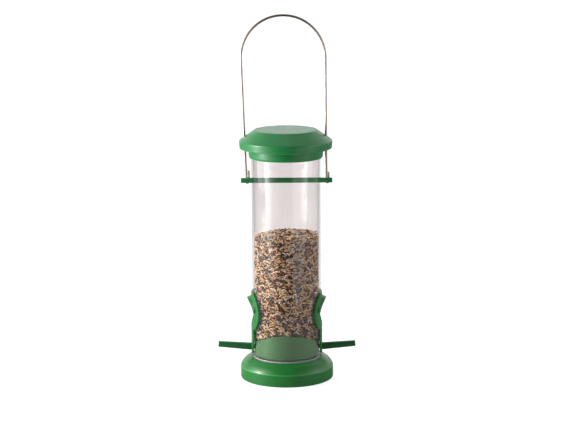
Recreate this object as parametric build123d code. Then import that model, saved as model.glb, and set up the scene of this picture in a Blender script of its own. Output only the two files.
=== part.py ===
from build123d import *

import os

# Two-port tube bird feeder with a sliding lid and a wire bail.
# Millimetres, +Z up. The origin is the centre of the base's underside, the two feeding
# ports face -X and +X, and the bail lies in the XZ plane. Each function under the
# dimensions makes one piece, and main() writes one STEP file per piece.

# --- driving dimensions ------------------------------------------------------

# clear tube
TUBE_R = 32.0
TUBE_WALL = 1.6
TUBE_TOP = 224.0

# base
BASE_R = 43.5
BASE_BAND_H = 11.3  # straight band under the sloping shoulder
BASE_TOP = 20.45
BASE_WALL = 1.9
BASE_SHOULDER = (40.6, 16.45)  # radius and z of the domed shoulder halfway up
BASE_FOOT_ROUND = 1.2
FLOOR_Z = 12.0
FLOOR_T = 2.0
SPIGOT_TOP = 19.6
LIP_T = 1.3  # the lip round the tube, and the small groove left between them
GROOVE = (0.6, 1.1)
RIB_COUNT = 8
RIB_T = 1.5
RIB_Z = (4.0, 15.0)
DRAIN_COUNT = 8
DRAIN_R = 1.6
DRAIN_X = 22.5

# seed deflector: a roof whose ridge runs front to back
DEFLECTOR_BOTTOM = 21.7
RIDGE_Z = 45.3
ROOF_R = 46.8
ROOF_T = 2.0
SCREW_Y = 15.0
SCREW_R = 1.35
SCREW_HOLE_R = 1.6
SCREW_TIP_Z = 29.0
SCREW_HEAD = (2.9, 1.9)  # radius and height
BOSS_R = 3.4
BOSS_BORE = (1.45, 32.0)  # radius and top
DEFLECTOR_WALL = 3.6

# feeding ports
PORT_Z = 63.3
FLANGE_HALF_W = 20.2  # a circle wrapped on the tube, so an ellipse seen from the side
FLANGE_HALF_H = 21.9
FLANGE_TOP = 82.0  # where its rounded outline is cut straight
FLANGE_T = 1.4
TONGUE_TOP = 48.3  # the flange's flat underside, where the tongue begins
TONGUE_HALF_W = 10.9
TONGUE_TAPER_Z = 38.0
TONGUE_END_HALF_W = 6.9
TONGUE_BOTTOM = 23.4
SLEEVE_R = 13.3
OPENING_R = 12.0
HOOD_ROOT = (30.0, 16.4)  # x and outer radius of the hood where it starts and at its tip
HOOD_TIP = (37.2, 13.3)
HOOD_FOOT = (31.5, 64.5)  # x and z: the hollow front edge runs from the tip by the middle to the foot
HOOD_EDGE_MIDDLE = (33.4, 70.7)
CHUTE_TOP_X = 17.0  # how far the sleeve reaches in, at its top and at its sill
CHUTE_SILL_X = 27.0
BACKPLATE_MARGIN = -3.4  # it is smaller than the flange, which hides it
BACKPLATE_T = 1.3

# perches
PERCH_Z = 28.6
PERCH_ROOT_R = 3.5
PERCH_TIP_R = 2.8
PERCH_TIP_X = 64.6
PERCH_TIP_Z = 31.3
PEG_R = 2.0

# cross rod and bail
ROD_Z = 187.45
ROD_R = 2.4
ROD_LENGTH = 85.0
ROD_SHIFT = 0.6  # the rod sits this far off centre in its holes
WIRE_R = 1.1
WIRE_HOLE_X = 37.15  # from the rod's centre
HOOK_STEP = (1.8, 4.4)  # from the hole to the hook's upturned end, in X and Y
HOOK_Z = 184.9
HOOK_TOP_LEFT = 196.0
HOOK_TOP_RIGHT = 194.5
HOOK_BEND_R = 2.3
HOOK_STRAIGHT_TOP = 189.6
BAIL_TOP = 340.4
BAIL_LEFT_LOW = (-37.4, 205.0)  # the legs' bends and the arch's corners, in x and z
BAIL_LEFT_HIGH = (-42.2, BAIL_TOP)
BAIL_RIGHT_LOW = (37.4, 205.0)
BAIL_RIGHT_HIGH = (36.7, BAIL_TOP)
BAIL_ARCH_R = 38.7
LEG_BEND_R = 50.0

# lid
LID_TOP = 235.0
LID_DISC_R = 29.1
LID_R = 43.3
LID_RIM_TOP = 225.1
LID_RIM_BOTTOM = 217.9
LID_RIM_DRAFT = 0.5
LID_WALL = 1.9
COLLAR_BOTTOM = 209.1
COLLAR_EDGE = (34.4, 210.8)  # radius and z where its chamfer begins, and the radius at its top
COLLAR_TOP_R = 34.8
COLLAR_INNER_TOP = 228.6
LEDGE_R = 28.5
LEDGE_T = 1.8
SLOT_X = (35.3, 41.35)
SLOT_WIDTH = 2.9

# seed
SEED_TOP = 138.0
SEED_DOME_R = 180.0
SEED_SLOPE = ((17.0, 74.9), (29.5, 54.5))  # x and z of its slope in a chute

# clearances
FIT = 0.1  # pieces fixed together
LOOSE = 0.2  # pieces that slide past each other when assembled
FAR = 60.0  # longer than any cut needs

TUBE_BORE_R = TUBE_R - TUBE_WALL
FLOOR_TOP = FLOOR_Z + FLOOR_T
SIDES = {"left": -1, "right": 1}


# --- helpers -----------------------------------------------------------------


def rod_along_x(radius, x_from, x_to, z, y=0.0):
    """A cylinder parallel to X."""
    middle = ((x_from + x_to) / 2, y, z)
    return Pos(*middle) * Rot(0, 90, 0) * Cylinder(radius, abs(x_to - x_from))


def outline_face(points, arc=None):
    """A face inside the points; an arc's middle point, if given, bends the side from last to first."""
    outline = Polyline(*points, close=arc is None)
    if arc:
        outline += ThreePointArc(points[-1], arc, points[0])
    return make_face(outline)


def turned(points, rounded=(), arc=None):
    """A solid of revolution about Z from (r, z) points; rounded lists (point, radius)."""
    sketch = outline_face(points, arc)
    for (r, z), radius in rounded:
        corner = sketch.vertices().sort_by_distance((r, z, 0))[0]
        sketch = fillet(corner, radius)
    return revolve(Plane.XZ * sketch, Axis.Z)


def shell(inner_r, outer_r, bottom, top):
    """A round wall about Z."""
    height = top - bottom
    middle = Pos(0, 0, (bottom + top) / 2)
    return middle * (Cylinder(outer_r, height) - Cylinder(inner_r, height))


def side_profile(points, arc=None):
    """A slab, thick in Y, from (x, z) points."""
    return extrude(Plane.XZ * outline_face(points, arc), FAR, both=True)


def on_side(shape, side):
    """The piece as it is on the +X side, or mirrored to the -X side."""
    return shape if side > 0 else mirror(shape, Plane.YZ)


def port_outline(margin):
    """The port's outline, a disc with a tongue below it, as a block running out along +X."""
    half = TONGUE_HALF_W + margin
    end_half = TONGUE_END_HALF_W + margin
    bottom = TONGUE_BOTTOM - margin
    right = [(half, PORT_Z), (half, TONGUE_TAPER_Z), (end_half, bottom)]
    left = [(-y, z) for y, z in right[::-1]]
    tongue = make_face(Polyline(*right, *left, close=True))
    for corner, radius in ((right[1], 4.0), (left[1], 4.0), (right[2], 3.0), (left[0], 3.0)):
        tongue = fillet(tongue.vertices().sort_by_distance((*corner, 0))[0], radius)
    disc = Pos(0, PORT_Z) * Ellipse(FLANGE_HALF_W + margin, FLANGE_HALF_H + margin)
    disc -= Pos(0, TONGUE_TOP - margin - FAR / 2) * Rectangle(FAR, FAR)
    disc -= Pos(0, FLANGE_TOP + margin + FAR / 2) * Rectangle(FAR, FAR)
    return extrude(Plane.YZ * (disc + tongue), FAR)


# --- tube, base and deflector ------------------------------------------------


def tube():
    """Clear tube with two port windows, two rod holes and two peg holes."""
    body = shell(TUBE_BORE_R, TUBE_R, FLOOR_TOP, TUBE_TOP)
    body -= rod_along_x(SLEEVE_R + FIT, -FAR, FAR, PORT_Z)
    body -= rod_along_x(ROD_R + LOOSE, -FAR, FAR, ROD_Z)
    body -= rod_along_x(PEG_R + LOOSE, -FAR, FAR, PERCH_Z)
    return body


def base_ring():
    """Round foot: band, sloping shoulder, tube channel, inner spigot and drained floor."""
    lip_in = TUBE_R + FIT
    lip_out = lip_in + BASE_WALL
    band_in = BASE_R - BASE_WALL
    spigot_out = TUBE_BORE_R - FIT
    spigot_in = spigot_out - BASE_WALL
    groove_w, groove_h = GROOVE
    shoulder = (BASE_R, BASE_BAND_H)
    lip_edge = (lip_in + groove_w + LIP_T, BASE_TOP)
    under_lip = (lip_out, BASE_TOP - 1.6 * BASE_WALL)
    under_shoulder = (band_in, BASE_BAND_H - 0.5 * BASE_WALL)
    body = turned(
        [
            lip_edge, (lip_in + groove_w, BASE_TOP), (lip_in, BASE_TOP - groove_h), (lip_in, FLOOR_TOP),
            (spigot_out, FLOOR_TOP), (spigot_out, SPIGOT_TOP), (spigot_in, SPIGOT_TOP),
            (spigot_in, FLOOR_TOP), (0, FLOOR_TOP), (0, FLOOR_Z), (lip_out, FLOOR_Z),
            under_lip, under_shoulder, (band_in, 0), (BASE_R, 0), shoulder,
        ],
        rounded=[(shoulder, 0.4), ((BASE_R, 0), BASE_FOOT_ROUND), (lip_edge, 0.4)],
        arc=BASE_SHOULDER,
    )
    rib_bottom, rib_top = RIB_Z
    rib = Pos((lip_out + BASE_R) / 2 - 1, 0, (rib_bottom + rib_top) / 2)
    rib *= Box(BASE_R - lip_out, RIB_T, rib_top - rib_bottom)
    rib_in, rib_out = lip_out - 1, BASE_R - 1
    inside = turned([(rib_in, 0), (rib_out, 0), (rib_out, BASE_BAND_H), (rib_in, BASE_TOP - 2)])
    for n in range(RIB_COUNT):
        body += (Rot(0, 0, 360 / RIB_COUNT * (n + 0.5)) * rib) & inside
    for n in range(DRAIN_COUNT):
        turn = Rot(0, 0, 360 / DRAIN_COUNT * n)
        body -= turn * Pos(DRAIN_X, 0, FLOOR_Z) * Cylinder(DRAIN_R, 3 * FLOOR_T)
    for y in (-SCREW_Y, SCREW_Y):
        body -= Pos(0, y, FLOOR_Z) * Cylinder(SCREW_HOLE_R, 3 * FLOOR_T)
    return body


def under_roof(lift):
    """Everything below the deflector's roof surface, raised by lift."""
    return Pos(0, 0, RIDGE_Z - ROOF_R) * Rot(90, 0, 0) * Cylinder(ROOF_R + lift, 2 * FAR)


def seed_deflector():
    """Hollow roof that fills the tube's foot and sheds seed to both ports."""
    outer_r = TUBE_BORE_R - LOOSE
    inner_r = outer_r - DEFLECTOR_WALL
    foot = (outer_r, DEFLECTOR_BOTTOM)
    body = turned([(0, DEFLECTOR_BOTTOM), foot, (outer_r, RIDGE_Z), (0, RIDGE_Z)], rounded=[(foot, 1.5)])
    body &= under_roof(0)
    hollow = Pos(0, 0, RIDGE_Z / 2) * Cylinder(inner_r, RIDGE_Z)
    body -= hollow & under_roof(-ROOF_T)
    bore_r, bore_top = BOSS_BORE
    for y in (-SCREW_Y, SCREW_Y):
        boss_top = RIDGE_Z - ROOF_T / 2
        boss = Pos(0, y, (FLOOR_TOP + boss_top) / 2) * Cylinder(BOSS_R, boss_top - FLOOR_TOP)
        body += boss
        body -= Pos(0, y, bore_top / 2) * Cylinder(bore_r, bore_top)
    pocket = port_outline(BACKPLATE_MARGIN + LOOSE)
    pocket &= shell(TUBE_BORE_R - BACKPLATE_T - 2 * LOOSE, TUBE_R, 0, TUBE_TOP)
    for side in SIDES.values():
        body -= on_side(pocket, side)
    body -= rod_along_x(PEG_R + FIT, -FAR, FAR, PERCH_Z)
    return body


def base_screws():
    """Two pan-head self-tapping screws that clamp the base to the deflector."""
    head_r, head_h = SCREW_HEAD
    head = Pos(0, 0, FLOOR_Z - head_h / 2) * Cylinder(head_r, head_h)
    head = fillet(head.edges().group_by(Axis.Z)[0], head_h / 2)
    recess = Pos(0, 0, FLOOR_Z - head_h) * (Box(3.0, 0.8, 1.6) + Box(0.8, 3.0, 1.6))
    shank = Pos(0, 0, (FLOOR_Z + SCREW_TIP_Z) / 2) * Cylinder(SCREW_R, SCREW_TIP_Z - FLOOR_Z)
    screw = head + shank - recess
    return Compound([Pos(0, -SCREW_Y, 0) * screw, Pos(0, SCREW_Y, 0) * screw])


# --- ports and perches -------------------------------------------------------


def port(side):
    """Flange on the tube's outside, hood over the opening, and a chute reaching inside."""
    flange_out = TUBE_R + FLANGE_T
    wrap = shell(TUBE_R + FIT / 2, flange_out, 0, TUBE_TOP)
    flange = port_outline(0) & wrap
    sleeve = rod_along_x(SLEEVE_R, CHUTE_TOP_X, FAR, PORT_Z)
    top = PORT_Z + SLEEVE_R
    sill = PORT_Z - SLEEVE_R
    chute_end = side_profile([(CHUTE_TOP_X, top), (FAR, top), (FAR, sill), (CHUTE_SILL_X, sill)])
    chute = sleeve & chute_end & (Pos(0, 0, PORT_Z) * Cylinder(flange_out - 0.2, FAR))
    (root_x, root_r), (tip_x, tip_r) = HOOD_ROOT, HOOD_TIP
    cone = Cone(root_r, tip_r, tip_x - root_x)
    hood = Pos((root_x + tip_x) / 2, 0, PORT_Z) * Rot(0, 90, 0) * cone
    tip_z = PORT_Z + tip_r
    foot_x, foot_z = HOOD_FOOT
    back = [(tip_x, tip_z), (tip_x, FAR + tip_z), (0, FAR + tip_z), (0, foot_z), (foot_x, foot_z)]
    hood &= side_profile(back, arc=HOOD_EDGE_MIDDLE)
    hood -= Pos(0, 0, PORT_Z) * Cylinder(flange_out - 0.4, FAR)
    body = flange + chute + hood
    body -= rod_along_x(OPENING_R, 0, FAR, PORT_Z)
    body -= rod_along_x(PEG_R + FIT, 0, FAR, PERCH_Z)
    return on_side(body, side)


def port_backplate(side):
    """Curved plate inside the tube that the port's chute snaps into."""
    outer_r = TUBE_BORE_R - FIT
    wrap = shell(outer_r - BACKPLATE_T, outer_r, DEFLECTOR_BOTTOM, TUBE_TOP)
    body = port_outline(BACKPLATE_MARGIN) & wrap
    body -= rod_along_x(SLEEVE_R + FIT, 0, FAR, PORT_Z)
    body -= rod_along_x(PEG_R + LOOSE, 0, FAR, PERCH_Z)
    return on_side(body, side)


def perch(side):
    """Tapered peg that rises a little outwards, with a stub through port, tube and deflector."""
    root_x = TUBE_R - 2.0
    run = PERCH_TIP_X - root_x
    rise = PERCH_TIP_Z - PERCH_Z
    axis = Plane(origin=(root_x, 0, PERCH_Z), z_dir=(run, 0, rise))
    length = (run**2 + rise**2) ** 0.5
    peg = axis * Pos(0, 0, length / 2) * Cone(PERCH_ROOT_R, PERCH_TIP_R, length)
    tip_edge = peg.edges().sort_by(Axis.X)[-1]
    peg = fillet(tip_edge, 0.9)
    peg -= Pos(0, 0, PERCH_Z) * Cylinder(TUBE_R + FLANGE_T, FAR)
    peg += rod_along_x(PEG_R, 27.2, TUBE_R + 4.0, PERCH_Z)
    return on_side(peg, side)


# --- rod and bail ------------------------------------------------------------


def hook_points(side, top_z):
    """The bail's hooked end, from its upturned tip to above the rod."""
    x = ROD_SHIFT + side * WIRE_HOLE_X
    tip_x = x + HOOK_STEP[0]
    tip_y = HOOK_STEP[1]
    return [(tip_x, tip_y, top_z), (tip_x, tip_y, HOOK_Z), (x, 0, HOOK_Z), (x, 0, HOOK_STRAIGHT_TOP)]


def wire_along(points, radii, radius):
    """A round wire along straight runs joined by tangent arcs."""
    path = FilletPolyline(*points, radius=radii)
    start = Plane(origin=path @ 0, z_dir=path % 0)
    return sweep(start * Circle(radius), path=path)


def cross_rod():
    """Round rod across the tube, channelled where each hook of the bail passes through."""
    body = rod_along_x(ROD_R, ROD_SHIFT - ROD_LENGTH / 2, ROD_SHIFT + ROD_LENGTH / 2, ROD_Z)
    body = chamfer(body.edges().filter_by(GeomType.CIRCLE), 0.3)
    for side in SIDES.values():
        *hook, (x, y, _) = hook_points(side, HOOK_TOP_LEFT)
        channel = [*hook, (x, y, ROD_Z + 2 * ROD_R)]
        body -= wire_along(channel, [HOOK_BEND_R, HOOK_BEND_R], WIRE_R + FIT)
    return body


def bail():
    """Wire handle: a hook, a leg, the round top, a leg and a hook."""
    left = hook_points(SIDES["left"], HOOK_TOP_LEFT)
    right = hook_points(SIDES["right"], HOOK_TOP_RIGHT)
    legs = [BAIL_LEFT_LOW, BAIL_LEFT_HIGH, BAIL_RIGHT_HIGH, BAIL_RIGHT_LOW]
    points = left + [(x, 0, z) for x, z in legs] + right[::-1]
    hook = [HOOK_BEND_R, HOOK_BEND_R, LEG_BEND_R, LEG_BEND_R]
    radii = hook + [BAIL_ARCH_R, BAIL_ARCH_R] + hook[::-1]
    return wire_along(points, radii, WIRE_R)


# --- lid ---------------------------------------------------------------------


def wire_slots():
    """The two radial slots that the bail's legs run in."""
    length = SLOT_X[1] - SLOT_X[0]
    outline = SlotOverall(length, SLOT_WIDTH)
    slot = extrude(outline, FAR, both=True)
    middle = (SLOT_X[0] + SLOT_X[1]) / 2
    return Pos(middle, 0, LID_RIM_TOP) * slot + Pos(-middle, 0, LID_RIM_TOP) * slot


def lid_cap():
    """Top shell of the lid: flat disc, sloping shoulder and straight rim."""
    inner_r = LID_R - LID_WALL
    inner_disc_r = LID_DISC_R - 0.4 * LID_WALL
    rim_top = (LID_R, LID_RIM_TOP)
    rim_bottom = (LID_R - LID_RIM_DRAFT, LID_RIM_BOTTOM)
    disc_edge = (LID_DISC_R, LID_TOP)
    body = turned(
        [
            disc_edge, (0, LID_TOP), (0, LID_TOP - LID_WALL), (inner_disc_r, LID_TOP - LID_WALL),
            (inner_r, LID_RIM_TOP - 0.6 * LID_WALL), (inner_r, LID_RIM_BOTTOM), rim_bottom, rim_top,
        ],
        rounded=[(rim_top, 1.6), (disc_edge, 0.9), (rim_bottom, 0.8)],
    )
    return body - wire_slots()


def lid_collar():
    """Underside of the lid: a ring round the tube's mouth, a stop ledge and a cover flange."""
    bore = TUBE_R + 2 * LOOSE
    flange_r = LID_R - LID_WALL - FIT
    flange_z = LID_RIM_BOTTOM + 0.3
    ledge_z = TUBE_TOP + 1.5 * LOOSE
    wall_r = bore + LID_WALL
    flange_top = flange_z + LID_WALL
    ledge_top = ledge_z + LEDGE_T
    chamfer_r = COLLAR_EDGE[0] - 0.6
    body = turned(
        [
            (bore, COLLAR_BOTTOM), (chamfer_r, COLLAR_BOTTOM), COLLAR_EDGE, (COLLAR_TOP_R, flange_z),
            (flange_r, flange_z), (flange_r, flange_top), (wall_r, flange_top),
            (wall_r, COLLAR_INNER_TOP), (bore, COLLAR_INNER_TOP), (bore, ledge_top), (LEDGE_R, ledge_top),
            (LEDGE_R, ledge_z), (bore, ledge_z),
        ],
        rounded=[(COLLAR_EDGE, 0.5), ((chamfer_r, COLLAR_BOTTOM), 0.3)],
    )
    return body - wire_slots()


# --- seed --------------------------------------------------------------------


def seed_fill():
    """The seed as one body: it fills the tube from the roof up and slopes down into each chute."""
    fill_r = TUBE_BORE_R - LOOSE
    body = Pos(0, 0, SEED_TOP / 2) * Cylinder(fill_r, SEED_TOP)
    body &= Pos(0, 0, SEED_TOP - SEED_DOME_R) * Sphere(SEED_DOME_R)
    body -= under_roof(FIT)
    pocket = port_outline(BACKPLATE_MARGIN + LOOSE)
    pocket &= shell(TUBE_BORE_R - BACKPLATE_T - 2 * LOOSE, TUBE_R, 0, TUBE_TOP)
    pocket += rod_along_x(SLEEVE_R + FIT, CHUTE_TOP_X - 0.5, FAR, PORT_Z)
    (top_x, top_z), (sill_x, sill_z) = SEED_SLOPE
    floor_z = PORT_Z - SLEEVE_R
    slope = [(0, top_z), (top_x, top_z), (sill_x, sill_z), (sill_x, floor_z), (0, floor_z)]
    heap = rod_along_x(OPENING_R - FIT, CHUTE_TOP_X - 1.0, FAR, PORT_Z) & side_profile(slope)
    for side in SIDES.values():
        body -= on_side(pocket, side)
    for side in SIDES.values():
        body += on_side(heap, side)
    return body


def main():
    pieces = {
        "tube": tube(),
        "base_ring": base_ring(),
        "seed_deflector": seed_deflector(),
        "base_screws": base_screws(),
        "cross_rod": cross_rod(),
        "bail": bail(),
        "lid_cap": lid_cap(),
        "lid_collar": lid_collar(),
        "seed_fill": seed_fill(),
    }
    for name, side in SIDES.items():
        pieces[f"port_{name}"] = port(side)
        pieces[f"port_backplate_{name}"] = port_backplate(side)
        pieces[f"perch_{name}"] = perch(side)
    os.makedirs("parts", exist_ok=True)
    for name, piece in pieces.items():
        export_step(piece, f"parts/{name}.step")


if __name__ == "__main__":
    main()
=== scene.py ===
import math

import bpy
import numpy as np
from mathutils import Matrix, Vector


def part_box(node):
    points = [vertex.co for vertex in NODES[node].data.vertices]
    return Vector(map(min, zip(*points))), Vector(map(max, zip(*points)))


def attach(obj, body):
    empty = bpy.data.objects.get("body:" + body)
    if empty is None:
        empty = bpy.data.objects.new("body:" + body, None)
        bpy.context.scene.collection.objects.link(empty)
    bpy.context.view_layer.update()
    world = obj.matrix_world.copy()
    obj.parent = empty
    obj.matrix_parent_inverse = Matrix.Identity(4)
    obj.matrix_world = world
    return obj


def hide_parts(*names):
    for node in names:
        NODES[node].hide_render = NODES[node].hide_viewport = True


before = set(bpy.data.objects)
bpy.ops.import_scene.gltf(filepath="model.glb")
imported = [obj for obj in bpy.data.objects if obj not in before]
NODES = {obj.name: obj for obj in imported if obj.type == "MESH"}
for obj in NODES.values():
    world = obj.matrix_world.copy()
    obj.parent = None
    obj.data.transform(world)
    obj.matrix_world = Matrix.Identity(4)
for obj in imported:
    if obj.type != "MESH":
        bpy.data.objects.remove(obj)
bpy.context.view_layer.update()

# Looks of a clear tube feeder: the CAD pieces get their materials here, and the CAD
# solid of the seed is replaced by loose seeds. Lengths are metres unless a name says
# otherwise: the seeds are worked out in millimetres and scaled once.

FEEDER = "feeder"
MM = 0.001
rng = np.random.default_rng(20)


# --- camera ------------------------------------------------------------------

CAMERA_AT = (0.0017, -1.7695, 0.4854)
CAMERA_DOWN = math.radians(10.62)
CAMERA_ROLL = -0.0058
CAMERA_LENS_MM = 120.7


def add_camera():
    data = bpy.data.cameras.new("camera")
    data.sensor_width = 36.0
    data.lens = CAMERA_LENS_MM
    data.clip_start = 0.05
    data.clip_end = 50.0
    camera = bpy.data.objects.new("camera", data)
    tilt = Matrix.Rotation(math.pi / 2 - CAMERA_DOWN, 4, "X")
    roll = Matrix.Rotation(CAMERA_ROLL, 4, "Z")
    camera.matrix_world = Matrix.Translation(CAMERA_AT) @ tilt @ roll
    bpy.context.collection.objects.link(camera)
    bpy.context.scene.camera = camera


add_camera()


# --- node helpers ------------------------------------------------------------


class Graph:
    """A short way to write a node tree: each call adds one node and wires its inputs."""

    def __init__(self, tree):
        self.tree = tree
        tree.nodes.clear()

    def add(self, kind, inputs=None, **settings):
        node = self.tree.nodes.new(kind)
        for name, value in settings.items():
            setattr(node, name, value)
        for name, value in (inputs or {}).items():
            socket = node.inputs[name]
            if isinstance(value, bpy.types.NodeSocket):
                self.tree.links.new(value, socket)
            else:
                socket.default_value = value
        return node

    def math(self, operation, a, b=0.0, clamp=False):
        node = self.add("ShaderNodeMath", {0: a, 1: b}, operation=operation, use_clamp=clamp)
        return node.outputs[0]

    def noise(self, vector, scale, detail=3.0, roughness=0.5):
        inputs = {"Vector": vector, "Scale": scale, "Detail": detail, "Roughness": roughness}
        return self.add("ShaderNodeTexNoise", inputs).outputs["Fac"]

    def remap(self, value, low, high, to_low=0.0, to_high=1.0):
        inputs = {0: value, 1: low, 2: high, 3: to_low, 4: to_high}
        return self.add("ShaderNodeMapRange", inputs).outputs[0]

    def mix(self, factor, a, b, blend="MIX"):
        node = self.add("ShaderNodeMix", data_type="RGBA", blend_type=blend)
        for index, value in ((0, factor), (6, a), (7, b)):
            if isinstance(value, bpy.types.NodeSocket):
                self.tree.links.new(value, node.inputs[index])
            else:
                node.inputs[index].default_value = value
        return node.outputs[2]

    def ramp(self, factor, stops, interpolation="LINEAR"):
        node = self.add("ShaderNodeValToRGB", {0: factor})
        ramp = node.color_ramp
        ramp.interpolation = interpolation
        while len(ramp.elements) < len(stops):
            ramp.elements.new(0.5)
        for element, (position, colour) in zip(ramp.elements, stops):
            element.position = position
            element.color = colour
        return node.outputs[0]

    def stretched(self, vector, scale):
        node = self.add("ShaderNodeMapping", {"Vector": vector, "Scale": scale})
        return node.outputs[0]


def rgb(red, green, blue):
    return (red, green, blue, 1.0)


def grey(value):
    return rgb(value, value, value)


def new_material(name):
    material = bpy.data.materials.new(name)
    material.use_nodes = True
    return material, Graph(material.node_tree)


def object_coordinates(graph):
    return graph.add("ShaderNodeTexCoord").outputs["Object"]


# --- stage -------------------------------------------------------------------

FLOOR_HALF = 6.0
# the sheet of paper ends a little in front, and the dark room beyond it shows in the gloss
FLOOR_FRONT = -0.30
PAPER_LIFT = 0.80
KEY_AT = (-1.05, -0.12, 0.50)
KEY_SIZE = (1.0, 1.0)
KEY_POWER = 5.2
STRIP_AZIMUTH = math.radians(-76)
STRIP_AT = 0.92
STRIP_SIZE = (0.16, 0.34)
STRIP_Z = 0.24
STRIP_POWER = 7.6
TARGET = Vector((0, 0, 0.12))
# The room is bright behind, with a window on the left, a dark front where the
# photographer stands and a lamp on the right. Turns are degrees from the front to +X.
BACK, SIDE = 1.3, 0.9
BACK_LEFT_TURN, BACK_RIGHT_TURN = -130, 110
WINDOW, WINDOW_EDGE = 4.2, 0.7
WINDOW_TURN = -70
FRONT = 0.02
FRONT_LEFT_TURN, FRONT_RIGHT_TURN = -25, 19
RIGHT_WALL = 0.8
LAMP, LAMP_TURN = 2.8, 80
OVERHEAD, OVERHEAD_BACK = 0.04, 1.2
ROOM_GAIN = 4.0


def add_floor():
    mesh = bpy.data.meshes.new("floor")
    corners = [
        (-FLOOR_HALF, FLOOR_FRONT), (FLOOR_HALF, FLOOR_FRONT),
        (FLOOR_HALF, FLOOR_HALF), (-FLOOR_HALF, FLOOR_HALF),
    ]
    mesh.from_pydata([(x, y, 0) for x, y in corners], [], [(0, 1, 2, 3)])
    floor = bpy.data.objects.new("floor", mesh)
    bpy.context.collection.objects.link(floor)
    material, g = new_material("floor_white")
    mottle = g.noise(object_coordinates(g), 9.0)
    colour = g.mix(mottle, grey(0.44), grey(0.47))
    paper = g.add("ShaderNodeBsdfDiffuse", {"Color": colour})
    # what the camera sees of the paper is lifted towards white, as a long exposure would
    seen = g.add("ShaderNodeLightPath").outputs["Is Camera Ray"]
    strength = g.math("MULTIPLY", seen, PAPER_LIFT)
    lift = g.add("ShaderNodeEmission", {"Color": grey(1.0), "Strength": strength})
    both = g.add("ShaderNodeAddShader", {0: paper.outputs[0], 1: lift.outputs[0]})
    g.add("ShaderNodeOutputMaterial", {"Surface": both.outputs[0]})
    mesh.materials.append(material)


def add_world():
    world = bpy.data.worlds.new("studio")
    bpy.context.scene.world = world
    world.use_nodes = True
    g = Graph(world.node_tree)
    direction = g.add("ShaderNodeTexCoord").outputs["Generated"]
    split = g.add("ShaderNodeSeparateXYZ", {0: direction}).outputs
    # azimuth from the front, -Y, towards +X, as 0 to 1 over a whole turn
    azimuth = g.math("ARCTAN2", split[0], g.math("MULTIPLY", split[1], -1.0))
    turn = g.remap(azimuth, -math.pi, math.pi)

    def ring(stops):
        scaled = [((degrees + 180) / 360, grey(value / ROOM_GAIN)) for degrees, value in stops]
        return g.ramp(turn, scaled)

    low = ring([
        (-180, BACK), (BACK_LEFT_TURN, SIDE),
        (WINDOW_TURN - 30, WINDOW_EDGE), (WINDOW_TURN, WINDOW), (WINDOW_TURN + 25, WINDOW_EDGE),
        (FRONT_LEFT_TURN, FRONT), (FRONT_RIGHT_TURN, FRONT),
        (FRONT_RIGHT_TURN + 5, RIGHT_WALL), (LAMP_TURN - 30, RIGHT_WALL), (LAMP_TURN, LAMP),
        (BACK_RIGHT_TURN, SIDE), (180, BACK),
    ])
    high = ring([(-180, OVERHEAD_BACK), (-90, OVERHEAD), (90, OVERHEAD), (180, OVERHEAD_BACK)])
    above = g.remap(split[2], 0.35, 0.85)
    colour = g.mix(above, low, high)
    seen = g.add("ShaderNodeLightPath").outputs["Is Camera Ray"]
    colour = g.mix(seen, colour, grey(1.0 / ROOM_GAIN))
    background = g.add("ShaderNodeBackground", {"Color": colour, "Strength": ROOM_GAIN})
    g.add("ShaderNodeOutputWorld", {"Surface": background.outputs[0]})


def add_area_light(name, place, size, power, aim=TARGET):
    data = bpy.data.lights.new(name, "AREA")
    data.shape = "RECTANGLE"
    data.size, data.size_y = size
    data.energy = power
    light = bpy.data.objects.new(name, data)
    light.location = place
    light.rotation_euler = (aim - Vector(place)).to_track_quat("-Z", "Y").to_euler()
    light.visible_camera = False
    bpy.context.collection.objects.link(light)


def add_lights():
    add_area_light("key", KEY_AT, KEY_SIZE, KEY_POWER, Vector((0, 0, KEY_AT[2])))
    strip = (STRIP_AT * math.sin(STRIP_AZIMUTH), -STRIP_AT * math.cos(STRIP_AZIMUTH), STRIP_Z)
    add_area_light("strip", strip, STRIP_SIZE, STRIP_POWER, Vector((0, 0, strip[2])))


bpy.context.scene.view_settings.view_transform = "Standard"
add_floor()
add_world()
add_lights()


# --- materials ---------------------------------------------------------------


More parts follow.
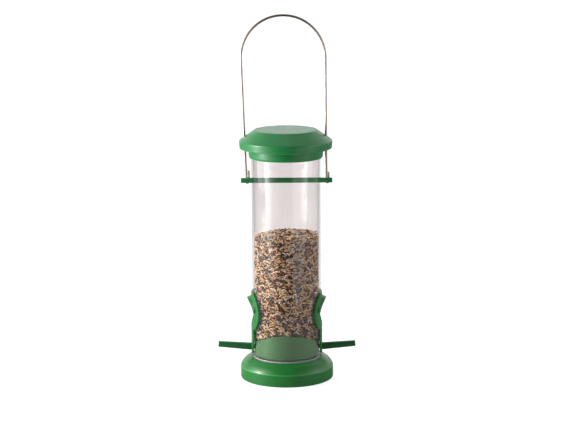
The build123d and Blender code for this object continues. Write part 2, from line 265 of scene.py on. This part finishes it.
def moulded_plastic(name, colour, deep, roughness=0.34, corners=()):
    """Injection-moulded plastic: faint flow shading, a fine grain and a painted highlight along the edges.

    corners are the heights of outer corners, along which a painted highlight line is laid.
    """
    material, g = new_material(name)
    place = object_coordinates(g)
    flow = g.noise(g.stretched(place, (1.0, 1.0, 0.35)), 38.0, 4.0)
    speck = g.noise(place, 1500.0, 2.0)
    tone = g.mix(g.remap(flow, 0.3, 0.7), rgb(*deep), rgb(*colour))
    tone = g.mix(g.remap(speck, 0.62, 0.8, 0.0, 0.18), tone, rgb(*[c * 1.6 for c in colour]))
    # painted highlight: where the bevel normal turns away from the face normal, the colour is lightened as
    # if the edge caught the light
    smooth = g.add("ShaderNodeBevel", {"Radius": 0.0005}, samples=6)
    face = g.add("ShaderNodeNewGeometry").outputs["Normal"]
    along = g.add("ShaderNodeVectorMath", {0: smooth.outputs[0], 1: face}, operation="DOT_PRODUCT")
    edge_highlight = g.remap(along.outputs["Value"], 0.998, 0.92, 0.0, 0.5)
    highlight_tone = rgb(*[min(1.0, c * 2.0 + 0.03) for c in colour])
    tone = g.mix(edge_highlight, tone, highlight_tone)
    height = g.add("ShaderNodeSeparateXYZ", {0: place}).outputs[2]
    # painted highlight lines, one at each corner height
    for corner in corners:
        away = g.math("ABSOLUTE", g.math("SUBTRACT", height, corner))
        tone = g.mix(g.remap(away, 0.0007, 0.0002, 0.0, 0.75), tone, highlight_tone)
    grain = g.noise(place, 2600.0, 3.0, 0.6)
    scuff = g.noise(g.stretched(place, (1.0, 1.0, 3.0)), 160.0, 5.0, 0.7)
    gloss = g.remap(scuff, 0.35, 0.75, roughness - 0.05, roughness + 0.10)
    bump = g.add("ShaderNodeBump", {"Height": grain, "Strength": 0.10, "Distance": 0.00006,
                                    "Normal": smooth.outputs[0]})
    shader = g.add("ShaderNodeBsdfPrincipled", {"Base Color": tone, "Roughness": gloss, "IOR": 1.5,
                                                "Normal": bump.outputs[0]})
    g.add("ShaderNodeOutputMaterial", {"Surface": shader.outputs[0]})
    return material


def drawn_steel(name, colour, roughness=0.24):
    """Drawn wire: fine lines along it, faint dull patches."""
    material, g = new_material(name)
    place = object_coordinates(g)
    lines = g.noise(g.stretched(place, (1.0, 1.0, 0.02)), 2400.0, 2.0)
    patches = g.noise(g.stretched(place, (1.0, 1.0, 0.3)), 60.0, 4.0, 0.6)
    tone = g.mix(g.remap(patches, 0.35, 0.7), rgb(*[c * 0.88 for c in colour]), rgb(*colour))
    gloss = g.remap(patches, 0.3, 0.75, roughness - 0.04, roughness + 0.06)
    bump = g.add("ShaderNodeBump", {"Height": lines, "Strength": 0.04, "Distance": 0.00004})
    shader = g.add("ShaderNodeBsdfPrincipled", {"Base Color": tone, "Metallic": 1.0,
                                                "Roughness": gloss, "Normal": bump.outputs[0]})
    g.add("ShaderNodeOutputMaterial", {"Surface": shader.outputs[0]})
    return material


TUBE_IOR = 1.49
TUBE_FOOT_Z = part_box("base_ring")[1].z


def clear_tube(name):
    """Extruded clear plastic: a wall lets light straight through and reflects by its angle."""
    material, g = new_material(name)
    place = object_coordinates(g)
    draw_lines = g.noise(g.stretched(place, (1.0, 1.0, 0.02)), 150.0, 1.0)
    bump = g.add("ShaderNodeBump", {"Height": draw_lines, "Strength": 0.01, "Distance": 0.0002})
    facing = g.add("ShaderNodeFresnel", {"IOR": TUBE_IOR, "Normal": bump.outputs[0]}).outputs[0]
    # both faces of the wall reflect, so the face that light enters stands for the pair
    pair = g.math("DIVIDE", g.math("MULTIPLY", facing, 2.0), g.math("ADD", facing, 1.0))
    leaving = g.add("ShaderNodeNewGeometry").outputs["Backfacing"]
    mirror = g.math("MULTIPLY", pair, g.math("SUBTRACT", 1.0, leaving))
    film = g.noise(place, 60.0, 5.0, 0.65)
    gloss = g.remap(film, 0.35, 0.75, 0.025, 0.055)
    clear = g.add("ShaderNodeBsdfTransparent", {"Color": rgb(0.930, 0.911, 0.909)})
    shine = g.add("ShaderNodeBsdfGlossy", {"Color": grey(1.0), "Roughness": gloss,
                                           "Normal": bump.outputs[0]})
    wall = g.add("ShaderNodeMixShader", {0: mirror, 1: clear.outputs[0], 2: shine.outputs[0]})
    # dust and fine scratches scatter a little light, and a painted glint, a whitish band, lies on the tube
    # just above its foot in the base
    dust_and_glint = g.add("ShaderNodeBsdfDiffuse", {"Color": rgb(0.9, 0.87, 0.86)})
    height = g.add("ShaderNodeSeparateXYZ", {0: place}).outputs[2]
    # painted glint: whitish just above the base's lip
    foot = g.remap(height, TUBE_FOOT_Z + 0.0011, TUBE_FOOT_Z + 0.0003, 0.0, 0.35)
    scratches = g.noise(g.stretched(place, (1.0, 1.0, 0.25)), 520.0, 6.0, 0.75)
    haze = g.remap(scratches, 0.45, 0.8, 0.002, 0.016)
    haze = g.math("ADD", haze, foot, clamp=True)
    surface = g.add("ShaderNodeMixShader", {0: haze, 1: wall.outputs[0], 2: dust_and_glint.outputs[0]})
    g.add("ShaderNodeOutputMaterial", {"Surface": surface.outputs[0]})
    return material


def seed_skin(name, tones, roughness, streak):
    """Seed husk: one tone per seed from the list, with streaks and blotches on it."""
    material, g = new_material(name)
    place = object_coordinates(g)
    each = g.add("ShaderNodeNewGeometry").outputs["Random Per Island"]
    stops = [((n + 0.5) / len(tones), rgb(*tone)) for n, tone in enumerate(tones)]
    tone = g.ramp(each, stops)
    blotch = g.noise(place, 900.0, 4.0, 0.6)
    tone = g.mix(g.remap(blotch, 0.42, 0.62, 0.0, streak), tone, rgb(0.05, 0.03, 0.02), "MIX")
    ridges = g.noise(place, 2400.0, 3.0, 0.6)
    bump = g.add("ShaderNodeBump", {"Height": ridges, "Strength": 0.25, "Distance": 0.0002})
    gloss = g.remap(blotch, 0.3, 0.7, roughness - 0.08, roughness + 0.12)
    shader = g.add("ShaderNodeBsdfPrincipled", {"Base Color": tone, "Roughness": gloss,
                                                "Normal": bump.outputs[0]})
    g.add("ShaderNodeOutputMaterial", {"Surface": shader.outputs[0]})
    return material


def dress(node, material):
    mesh = NODES[node].data
    mesh.materials.clear()
    mesh.materials.append(material)


BASE_SHOULDER_Z = 0.0113
LID_RIM_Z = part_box("lid_cap")[0].z
COLLAR_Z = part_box("lid_collar")[0].z
BODY_GREEN, BODY_DEEP = (0.014, 0.180, 0.030), (0.012, 0.158, 0.026)
GREEN = moulded_plastic("green_plastic", BODY_GREEN, BODY_DEEP)
# the base's shoulder gets a painted highlight line
BASE_GREEN = moulded_plastic("base_plastic", BODY_GREEN, BODY_DEEP, corners=(BASE_SHOULDER_Z,))
# the deflector is a lighter green, which stands in for the white table's reflection in the tube
REFLECTION_GREEN = moulded_plastic("painted_reflection_green_plastic", (0.105, 0.290, 0.105), (0.070, 0.240, 0.075),
                              0.40)
# the lid and rod take a bluer, lighter copy of the body green, painted to stand in for cooler light from
# above; the rim and collar bottoms get painted highlight lines
LID_GREEN = moulded_plastic("lid_plastic", (0.017, 0.205, 0.055), (0.014, 0.180, 0.047),
                            corners=(LID_RIM_Z, COLLAR_Z))
PERCH_GREEN = moulded_plastic("perch_plastic", (0.010, 0.130, 0.030), (0.008, 0.110, 0.026), 0.38)
# the port backplates are coloured near black as painted shade, the shadowed line between each flange and
# the tube
SHADE_BLACK = moulded_plastic("black_plastic", (0.006, 0.009, 0.006), (0.004, 0.006, 0.004), 0.42)
STEEL = drawn_steel("wire", (0.43, 0.36, 0.32), 0.30)
ZINC = drawn_steel("screw_steel", (0.66, 0.67, 0.66), 0.34)
CLEAR = clear_tube("clear_tube")

for piece in ("port_left", "port_right"):
    dress(piece, GREEN)
dress("base_ring", BASE_GREEN)
dress("seed_deflector", REFLECTION_GREEN)
for piece in ("lid_cap", "lid_collar", "cross_rod"):
    dress(piece, LID_GREEN)
for piece in ("perch_left", "perch_right"):
    dress(piece, PERCH_GREEN)
for piece in ("port_backplate_left", "port_backplate_right"):
    dress(piece, SHADE_BLACK)
dress("bail", STEEL)
dress("base_screws", ZINC)
dress("tube", CLEAR)


# --- seed --------------------------------------------------------------------
# The heap is layers of whole seeds: against the tube's bore, over its top, and down
# the slope in each chute. What lies deeper can't be seen and is left out.

SEED_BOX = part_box("seed_fill")
BORE_R = 30.2
TOP_Z = SEED_BOX[1].z / MM
TOP_TILT = 0.045
TOP_CURVE_R = 180.0
RIDGE_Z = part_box("seed_deflector")[1].z / MM
ROOF_R = 46.8
PLATE_BOX = [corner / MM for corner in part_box("port_backplate_right")]
PLATE_IN_R = 28.8
PORT_Z = 63.3
PLATE_HALF_W = PLATE_BOX[1].y
PLATE_TOP_Z = PLATE_BOX[1].z
PLATE_STEP_Z, PLATE_TONGUE_HALF_W = 51.0, 7.6
PLATE_BULGE = 0.8
CHUTE_R = 11.8
SLOPE_TOP, SLOPE_FOOT = (17.0, 74.9), (29.5, 54.5)


def top_surface(x, y):
    return TOP_Z - 0.6 + TOP_TILT * x - (x**2 + y**2) / (2 * TOP_CURVE_R)


def roof_surface(x):
    return RIDGE_Z - ROOF_R + np.sqrt(ROOF_R**2 - np.clip(x, -40, 40) ** 2)


def behind_plate(x, y, z, margin=0.8):
    """True where a port's backplate lies against the bore."""
    disc = y**2 + (z - PORT_Z) ** 2 < (PLATE_HALF_W + margin + PLATE_BULGE) ** 2
    disc &= (z < PLATE_TOP_Z + margin) & (z > PLATE_STEP_Z - margin)
    tongue = (np.abs(y) < PLATE_TONGUE_HALF_W + margin) & (z < PORT_Z)
    return (disc | tongue) & (np.abs(x) > 15)


def husk(length, width, thick, rings, sides, bluntness, lean=0.0, bend=0.0):
    """Points and faces of one seed along X, wide in Y and thick in Z, in millimetres."""
    along = -np.cos(np.linspace(0, np.pi, rings + 2))
    turn = np.linspace(0, 2 * np.pi, sides, endpoint=False)
    points = [(-length / 2, 0, bend)]
    for t in along[1:-1]:
        girth = (1 - abs(t) ** bluntness) ** (1 / 1.6) * (1 + lean * t)
        for angle in turn:
            y = math.cos(angle) * width / 2 * girth
            z = math.sin(angle) * thick / 2 * girth
            points.append((t * length / 2, y, z + bend * t * t))
    points.append((length / 2, 0, bend))
    faces = []
    last = len(points) - 1
    for side in range(sides):
        right = (side + 1) % sides
        faces.append((0, 1 + right, 1 + side))
        for ring in range(rings - 1):
            low = 1 + ring * sides
            high = low + sides
            faces.append((low + side, low + right, high + right, high + side))
        low = 1 + (rings - 1) * sides
        faces.append((last, low + side, low + right))
    return np.array(points), faces


# Each kind's size is its length, width and thickness in millimetres, and share is its part of the mix.
SEED_KINDS = {
    "canary": dict(
        size=(5.0, 1.6, 1.35), bluntness=2.0, lean=0.0, bend=0.0, share=0.46, roughness=0.36, blotch=0.10,
        tones=[(0.93, 0.61, 0.33), (0.98, 0.75, 0.50), (0.62, 0.33, 0.16), (0.98, 0.86, 0.66)],
    ),
    "niger": dict(
        size=(4.5, 1.3, 1.1), bluntness=2.6, lean=0.12, bend=0.25, share=0.27, roughness=0.42, blotch=0.2,
        tones=[(0.050, 0.024, 0.016), (0.085, 0.040, 0.026), (0.028, 0.014, 0.010)],
    ),
    "linseed": dict(
        size=(3.8, 1.8, 1.1), bluntness=2.2, lean=-0.15, bend=0.0, share=0.10, roughness=0.28, blotch=0.2,
        tones=[(0.26, 0.10, 0.035), (0.16, 0.060, 0.022), (0.38, 0.16, 0.06)],
    ),
    "millet": dict(
        size=(2.2, 1.9, 1.6), bluntness=2.0, lean=0.0, bend=0.0, share=0.14, roughness=0.34, blotch=0.1,
        tones=[(0.93, 0.58, 0.18), (0.95, 0.70, 0.30), (0.85, 0.46, 0.12)],
    ),
    "red_millet": dict(
        size=(2.1, 1.8, 1.6), bluntness=2.0, lean=0.0, bend=0.0, share=0.05, roughness=0.34, blotch=0.12,
        tones=[(0.70, 0.19, 0.04), (0.80, 0.28, 0.06), (0.55, 0.14, 0.04)],
    ),
}
# Layers of seed from the outermost in: depth, spacing, how far seeds tip, and whether finely made
WALL_LAYERS = [(0.0, 2.0, 0.12, True), (1.9, 2.3, 0.5, False), (3.3, 2.5, 0.7, False)]
TOP_LAYERS = [(0.0, 2.1, 0.3, True), (1.4, 2.4, 0.5, False), (2.9, 2.9, 0.6, False)]
CHUTE_LAYERS = [(0.5, 1.9, 0.3, True), (1.9, 2.3, 0.5, False), (3.3, 2.6, 0.5, False)]


def scattered(count, spans, spacing):
    """Points spread over a flat region, at least about spacing apart, by dart throwing."""
    size = spacing / math.sqrt(2)
    taken = {}
    kept = []
    starts = np.array([span[0] for span in spans])
    widths = np.array([span[1] - span[0] for span in spans])
    darts = rng.random((count * 6, 2)) * widths + starts
    for u, v in darts:
        cell = (int(u // size), int(v // size))
        near = [taken.get((cell[0] + i, cell[1] + j)) for i in range(-2, 3) for j in range(-2, 3)]
        if all(p is None or (p[0] - u) ** 2 + (p[1] - v) ** 2 > spacing**2 for p in near):
            taken[cell] = (u, v)
            kept.append((u, v))
            if len(kept) >= count:
                break
    return np.array(kept)


def unit(vectors):
    return vectors / np.linalg.norm(vectors, axis=1, keepdims=True)


def seed_axes(outward, level, angle, tilt_a, tilt_b):
    """Axes of each seed: long axis at an angle from level in the surface, then tipped off it."""
    up = unit(np.cross(outward, level))
    long_axis = level * np.cos(angle)[:, None] + up * np.sin(angle)[:, None]
    long_axis = unit(long_axis + outward * np.tan(tilt_a)[:, None])
    across = unit(np.cross(outward, long_axis))
    thick = np.cross(long_axis, across)
    across = unit(across * np.cos(tilt_b)[:, None] + thick * np.sin(tilt_b)[:, None])
    return np.stack([long_axis, across, np.cross(long_axis, across)], axis=2)


def wall_layer(depth, spacing, tip):
    """Seeds round the bore, depth in from it. Returns their centres, axes and outer limit."""
    around = 2 * math.pi * BORE_R
    low, high = roof_surface(np.array([30.0]))[0], TOP_Z + 2.0
    spots = scattered(9000, [(0, around), (low, high)], spacing)
    theta = spots[:, 0] / BORE_R
    z = spots[:, 1]
    limit = np.full(len(z), BORE_R)
    x, y = BORE_R * np.cos(theta), BORE_R * np.sin(theta)
    limit[behind_plate(x, y, z)] = PLATE_IN_R
    radius = limit - 0.75 - depth - rng.random(len(z)) * 0.35
    outward = np.stack([np.cos(theta), np.sin(theta), np.zeros(len(z))], axis=1)
    centres = outward * radius[:, None]
    centres[:, 2] = z
    keep = z < top_surface(centres[:, 0], centres[:, 1]) - 0.4
    keep &= z > roof_surface(centres[:, 0]) + 0.8
    level = np.stack([-np.sin(theta), np.cos(theta), np.zeros(len(z))], axis=1)
    n = len(z)
    lie = np.where(rng.random(n) < 0.7, rng.normal(0, 0.55, n), rng.random(n) * math.pi)
    axes = seed_axes(outward, level, lie, rng.normal(0, tip, n), rng.normal(0, 0.5 + tip, n))
    return centres[keep], axes[keep], limit[keep]


def top_layer(depth, spacing, tip):
    """Seeds lying on the heap's top."""
    spots = scattered(1500, [(-BORE_R, BORE_R), (-BORE_R, BORE_R)], spacing)
    x, y = spots[:, 0], spots[:, 1]
    keep = np.hypot(x, y) < BORE_R - 1.6
    x, y = x[keep], y[keep]
    n = len(x)
    z = top_surface(x, y) - depth + rng.normal(0, 0.35, n)
    outward = unit(np.stack([x / TOP_CURVE_R - TOP_TILT, y / TOP_CURVE_R, np.ones(n)], axis=1))
    level = unit(np.cross(outward, np.array([0.0, 1.0, 0.0])))
    turn = rng.random(n) * 2 * math.pi
    axes = seed_axes(outward, level, turn, rng.normal(0, tip, n), rng.normal(0, 0.6, n))
    return np.stack([x, y, z], axis=1), axes, np.full(n, BORE_R)


def chute_layer(side, depth, spacing, tip):
    """Seeds on the slope inside a port's chute."""
    top, foot = np.array(SLOPE_TOP), np.array(SLOPE_FOOT)
    run = np.linalg.norm(foot - top)
    down = (foot - top) / run
    normal = np.array([-down[1], down[0]])
    spots = scattered(400, [(-2.0, run + 1.0), (-CHUTE_R, CHUTE_R)], spacing)
    along, y = spots[:, 0], spots[:, 1]
    x = top[0] + down[0] * along - normal[0] * depth
    z = top[1] + down[1] * along - normal[1] * depth
    keep = np.hypot(y, z - PORT_Z) < CHUTE_R - 0.9
    x, y, z = x[keep], y[keep], z[keep]
    n = len(x)
    outward = np.tile([side * normal[0], 0.0, normal[1]], (n, 1))
    level = np.tile([0.0, 1.0, 0.0], (n, 1))
    turn = rng.normal(0.4, 0.9, n)
    axes = seed_axes(outward, level, turn, rng.normal(0, tip, n), rng.normal(0, 0.6, n))
    return np.stack([side * x, y, z], axis=1), axes, np.full(n, BORE_R)


def lay_seeds():
    """Each layer as ((centres, axes, radial limits), whether finely made)."""
    layers = [(wall_layer(*how), fine) for *how, fine in WALL_LAYERS]
    layers += [(top_layer(*how), fine) for *how, fine in TOP_LAYERS]
    for side in (-1, 1):
        layers += [(chute_layer(side, *how), fine) for *how, fine in CHUTE_LAYERS]
    return layers


def kept_in_tube(points, limit):
    """Points moved so that no seed passes its radial limit or the deflector's roof."""
    radius = np.hypot(points[..., 0], points[..., 1])
    squeeze = np.minimum(1.0, limit[:, None] / np.maximum(radius, 1e-6))
    points[..., 0] *= squeeze
    points[..., 1] *= squeeze
    points[..., 2] = np.maximum(points[..., 2], roof_surface(points[..., 0]) + 0.05)
    return points


def seed_mesh(name, batches):
    """One mesh from batches of (template points, template faces, centres, axes, limits)."""
    all_points, loops, starts = [], [], []
    offset = 0
    for points, faces, centres, axes, limit in batches:
        if not len(centres):
            continue
        size = rng.normal(1.0, 0.08, len(centres)).clip(0.78, 1.22)
        placed = np.einsum("nij,pj->npi", axes, points) * size[:, None, None] + centres[:, None, :]
        placed = kept_in_tube(placed, limit)
        all_points.append(placed.reshape(-1, 3))
        flat = np.concatenate([np.array(face) for face in faces])
        sizes = np.array([len(face) for face in faces])
        shifts = offset + np.arange(len(centres)) * len(points)
        loops.append((flat[None, :] + shifts[:, None]).ravel())
        starts.append(np.tile(sizes, len(centres)))
        offset += len(centres) * len(points)
    points = np.concatenate(all_points) * MM
    corners = np.concatenate(loops)
    sizes = np.concatenate(starts)
    mesh = bpy.data.meshes.new(name)
    mesh.vertices.add(len(points))
    mesh.vertices.foreach_set("co", points.astype(np.float32).ravel())
    mesh.loops.add(len(corners))
    mesh.loops.foreach_set("vertex_index", corners.astype(np.int32))
    mesh.polygons.add(len(sizes))
    mesh.polygons.foreach_set("loop_start", (np.cumsum(sizes) - sizes).astype(np.int32))
    mesh.polygons.foreach_set("use_smooth", np.ones(len(sizes), bool))
    mesh.update(calc_edges=True)
    mesh.validate()
    return mesh


def add_seeds():
    chances = np.array([kind["share"] for kind in SEED_KINDS.values()])
    chances = chances / chances.sum()
    batches = {name: [] for name in SEED_KINDS}
    for (centres, axes, limit), fine in lay_seeds():
        picks = rng.choice(len(SEED_KINDS), len(centres), p=chances)
        rings, sides = (6, 8) if fine else (3, 6)
        for index, (name, kind) in enumerate(SEED_KINDS.items()):
            points, faces = husk(*kind["size"], rings, sides, kind["bluntness"], kind["lean"], kind["bend"])
            chosen = picks == index
            batches[name].append((points, faces, centres[chosen], axes[chosen], limit[chosen]))
    for name, kind in SEED_KINDS.items():
        mesh = seed_mesh(f"seed_{name}", batches[name])
        piece = bpy.data.objects.new(f"seed_{name}", mesh)
        bpy.context.collection.objects.link(piece)
        skin = seed_skin(f"seed_{name}", kind["tones"], kind["roughness"], kind["blotch"])
        mesh.materials.append(skin)
        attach(piece, FEEDER)
        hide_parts("seed_fill")


add_seeds()

bpy.context.view_layer.update()
